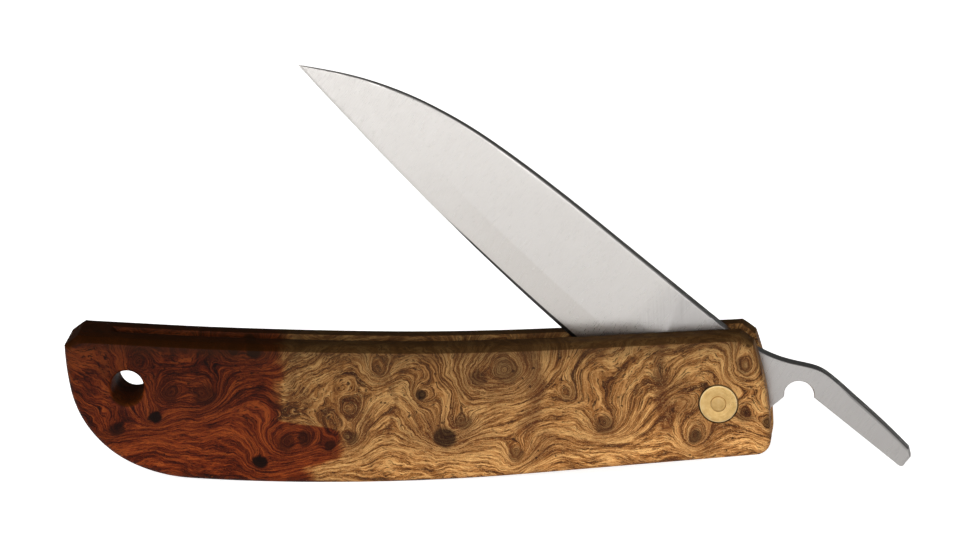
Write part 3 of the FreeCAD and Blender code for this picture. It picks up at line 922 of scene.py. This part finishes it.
def brass(name, tarnish, pitting, bright_rim=False):
    mat = material_graph(name)
    place = mat.millimetres()
    x, _, z = mat.split(mat.vector("SUBTRACT", place, (PX, 0.0, PZ)))
    radius = mat.math("SQRT", mat.add(mat.mul(x, x), mat.mul(z, z)))
    mottle = mat.noise(place, scale=1.1, detail=4.0, rough=0.6)
    # turning marks: noise drawn out into circles round the pivot
    turning = mat.noise(mat.combine(mat.mul(radius, 5.0), 0.0, mat.mul(x, 0.2)),
                        scale=2.0, detail=3.0, rough=0.6)
    # pits, mostly on the +x half and in patches
    pits = mat.mul(mat.ease(mat.voronoi(place, scale=3.6), span=(0.22, 0.08)),
                   mat.ease(x, span=(0.4, 1.9), to=(0.12, 1.0)))
    patches = mat.noise(place, scale=2.2, detail=2.0, rough=0.5, shift=(5.0, 5.0, 5.0))
    pits = mat.mul(pits, mat.ease(patches, span=(0.44, 0.56)))
    mat.colour = mat.ramp(mat.plus(mat.mul(turning, 0.4), (mottle, 0.6)),
                          [(0.30, (218, 173, 105)), (0.50, (243, 202, 132)),
                           (0.68, (254, 223, 162))])
    if bright_rim:
        mat.stain_and_shade(mat.near(radius, centre=2.86, span=(0.16, 0.02)), amount=0.6,
                  colour=(255, 232, 180))
    mat.stain_and_shade(pits, amount=pitting, colour=(96, 66, 30))
    if tarnish > 0.0:
        mat.colour = mat.mix(tarnish, mat.colour, (150, 108, 60))
    height = mat.sub(mat.mul(turning, 0.3), pits)
    mat.surface(Metallic=1.0, Roughness=mat.plus(0.30, (mottle, 0.18)),
                Normal=mat.bump(height, strength=0.35, distance=0.05))
    return mat.owner


# ------------------------------------------------------------------ floor and world
WHITE = (1.0, 1.0, 1.0, 1.0)


def finish_by_ray(graph, for_light, for_camera):
    """Show one shader to camera rays and the other to all other rays."""
    camera_ray = graph.node("LightPath").outputs["Is Camera Ray"]
    graph.finish(graph.node("MixShader", (camera_ray, for_light.outputs[0],
                                          for_camera.outputs[0])))


def add_floor(half=0.9):
    """Square floor under the lowest point, in metres, lifted to near white for the camera."""
    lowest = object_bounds()[0][2]
    mesh = bpy.data.meshes.new("floor")
    corners = ((-half, -half), (half, -half), (half, half), (-half, half))
    mesh.from_pydata([(x, y, lowest) for x, y in corners], [], [(0, 1, 2, 3)])
    floor = bpy.data.objects.new("floor", mesh)
    scene.collection.objects.link(floor)
    mat = material_graph("pale_floor")
    diffuse = mat.node("BsdfDiffuse", {"Color": (0.86, 0.86, 0.86, 1.0)})
    glow = mat.node("Emission", {"Color": WHITE, "Strength": 0.82})
    lifted = mat.node("AddShader", (diffuse.outputs[0], glow.outputs[0]))
    finish_by_ray(mat, diffuse, lifted)
    mesh.materials.append(mat.owner)


def build_world():
    """Room light: bright in front of the knife, dim behind it and straight above."""
    world = bpy.data.worlds.new("studio")
    scene.world = world
    sky = Graph(world, "OutputWorld")
    _, y, z = sky.split(sky.coordinates("Generated"))
    strength = sky.mul(sky.linear(y, span=(0.55, -0.75), to=(0.12, 1.22)),
                       sky.linear(z, span=(0.15, 0.85), to=(1.0, 0.25)))
    room = sky.node("Background", {"Color": (1.0, 0.99, 0.975, 1.0), "Strength": strength})
    backdrop = sky.node("Background", {"Color": WHITE, "Strength": 1.05})
    finish_by_ray(sky, room, backdrop)


# ------------------------------------------------------------------ lights and camera
# metres and watts: name, location, target, width, height, power, colour
AIM, LOW_AIM = (0.05, 0.0, 0.0), (0.05, 0.0, 0.004)
LIGHTS = [
    ("key", (-0.15, -0.75, 0.30), AIM, 0.7, 0.45, 7.0, (1, 1, 1)),
    ("fill", (0.55, -0.55, 0.12), AIM, 0.4, 0.4, 1.6, (1.0, 0.98, 0.95)),
    # low lights behind and beside the knife reach the back and the ends, not the top
    ("back_low", (0.05, 0.70, 0.012), LOW_AIM, 0.9, 0.04, 3.6, (1, 1, 1)),
    ("end_low", (-0.65, 0.20, 0.012), LOW_AIM, 0.4, 0.04, 0.9, (1, 1, 1)),
    ("end_low_b", (0.80, 0.20, 0.012), LOW_AIM, 0.4, 0.04, 0.6, (1, 1, 1)),
]


def add_light(name, location, target, width, height, power, colour):
    light = bpy.data.lights.new(name, "AREA")
    light.shape = "RECTANGLE"
    light.size, light.size_y = width, height
    light.energy, light.color = power, colour
    ob = bpy.data.objects.new(name, light)
    ob.location = location
    direction = Vector(target) - Vector(location)
    ob.rotation_euler = direction.to_track_quat("-Z", "Y").to_euler()
    scene.collection.objects.link(ob)
    # the steel mirrors only the room, never a lamp
    ob.visible_glossy = False


AZIMUTH = math.radians(4.6)             # camera turned towards the pivot end
ELEVATION = math.radians(13.9)          # and raised above the knife
LEAN = math.radians(1.30)               # turn of the whole view about y through the pivot
DISTANCE = 1120.0                       # from the aim point
AIM_RIGHT, AIM_UP = -35.93867, 18.43355     # aim point from the pivot, in the view plane
LENS, SENSOR = 265.50184, 36.0


def add_camera():
    cos, sin = math.cos(AZIMUTH), math.sin(AZIMUTH)
    right = np.array([cos, sin, 0.0])
    back = np.array([sin * math.cos(ELEVATION), -cos * math.cos(ELEVATION),
                     math.sin(ELEVATION)])
    up = np.cross(back, right)
    place = AIM_RIGHT * right + AIM_UP * up + DISTANCE * back
    lean = np.array([[math.cos(LEAN), 0, math.sin(LEAN)], [0, 1, 0],
                     [-math.sin(LEAN), 0, math.cos(LEAN)]])
    pose = lean @ np.stack([right, up, back, place], 1)
    pose[:, 3] = (pose[:, 3] + (PX, 0.0, PZ)) * MM
    data = bpy.data.cameras.new("camera")
    camera = bpy.data.objects.new("camera", data)
    scene.collection.objects.link(camera)
    camera.matrix_world = Matrix([*pose.tolist(), [0, 0, 0, 1]])
    data.sensor_width = SENSOR
    data.lens = LENS
    data.clip_start, data.clip_end = 0.05, 10.0
    scene.camera = camera


# ------------------------------------------------------------------ assembly
handle = build_handle()
blade = build_blade()
collars = [collar("collar_front", -1), collar("collar_back", 1)]
pin = pivot_pin()
washers = [washer("washer_f", -SLOT_HALF), washer("washer_b", SLOT_HALF - WASHER)]
hardware = [*collars, pin, *washers]
for ob, node, slot in zip(
        hardware,
        ("pivot_collar_front", "pivot_collar_back", "pivot_pin", "washer_front", "washer_back"),
        ("collar_brass", "collar_brass", "pin_brass", "washer_brass", "washer_brass")):
    shade_by_angle(ob, 35)
    register(ob, node, "handle")

wood, steel = Burl().owner, satin_steel()
collar_brass = brass("collar_brass", tarnish=0.0, pitting=0.85, bright_rim=True)
pin_brass = brass("pin_brass", tarnish=0.20, pitting=0.35)
washer_brass = brass("washer_brass", tarnish=0.3, pitting=0.2)
metals = (collar_brass, collar_brass, pin_brass, washer_brass, washer_brass)
for ob, material in zip((handle, blade, *hardware), (wood, steel, *metals)):
    ob.data.materials.clear()
    ob.data.materials.append(material)

add_floor()
build_world()
for light in LIGHTS:
    add_light(*light)
add_camera()
scene.view_settings.view_transform = "Standard"
scene.view_settings.look = "None"
